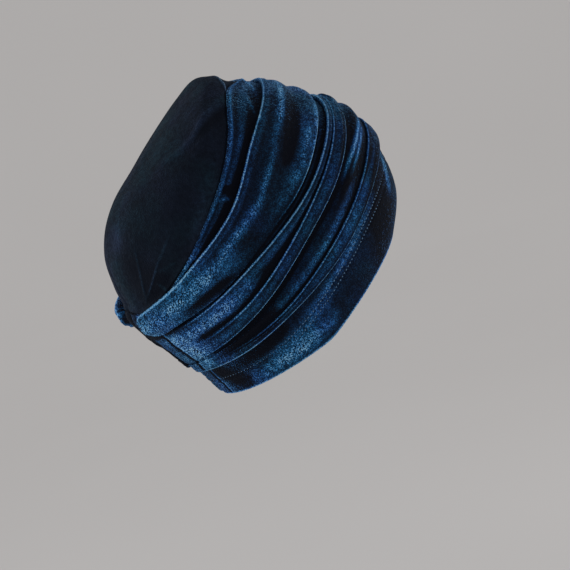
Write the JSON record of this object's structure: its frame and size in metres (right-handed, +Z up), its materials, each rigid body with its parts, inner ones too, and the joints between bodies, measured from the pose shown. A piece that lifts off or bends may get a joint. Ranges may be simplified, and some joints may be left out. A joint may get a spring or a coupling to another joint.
{
  "type": "turban beanie",
  "caption": "Soft velvet turban beanie with a bag crown, a wide band of overlapping draped folds gathered at the centre back, and a plain rim with a turned hem.",
  "frame": {"origin": "middle of the head opening, half way between the hem at the forehead and the hem at the nape, where the cap sits on a head", "axes": "+Z up through the top of an upright head, -Y toward the face, +Y toward the back of the head, -X to the wearer's right"},
  "size_m": [0.1898, 0.2718, 0.2742],
  "materials": {
    "crown_velvet": "dark navy stretch velvet, nap lying down",
    "band_velvet": "petrol blue stretch velvet, bright along the fold edges",
    "rim_velvet": "petrol blue stretch velvet, double, with two stitch rows"
  },
  "bodies": {
    "root": {"crown": "crown_velvet", "draped_band": "band_velvet", "rim_band": "rim_velvet"}
  },
  "joints": []
}
